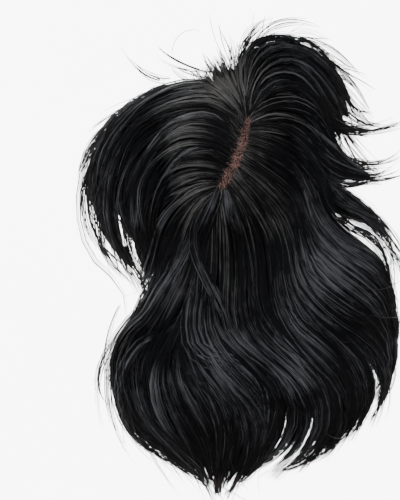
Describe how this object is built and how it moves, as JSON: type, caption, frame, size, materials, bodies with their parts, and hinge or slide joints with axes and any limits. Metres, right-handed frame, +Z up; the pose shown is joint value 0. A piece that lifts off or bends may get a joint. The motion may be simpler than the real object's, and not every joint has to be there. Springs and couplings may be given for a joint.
{
  "type": "toupee hairpiece",
  "caption": "Clip-in hairpiece with long black wavy hair on a thin domed net base, with a skin-coloured parting and comb clips under the rim.",
  "frame": {"origin": "on the table, under the middle of the whole piece as it lies", "axes": "+Y from the ends of the long hair towards the front hairline, +X to the wearer's right of the picture, +Z up from the table"},
  "size_m": [0.3076, 0.4564, 0.0458],
  "materials": {
    "hair": "black human hair, softly glossy, brown where it thins",
    "net": "fine dark brown net",
    "parting_mesh": "skin-brown mesh with dark root knots",
    "clips": "black enamelled spring steel"
  },
  "bodies": {
    "root": {"base_cap": "net", "part_panel": "parting_mesh", "hair_left": "hair", "hair_back": "hair", "hair_right": "hair", "clip_front": "clips", "clip_back": "clips", "clip_left": "clips", "clip_right": "clips"}
  },
  "joints": []
}
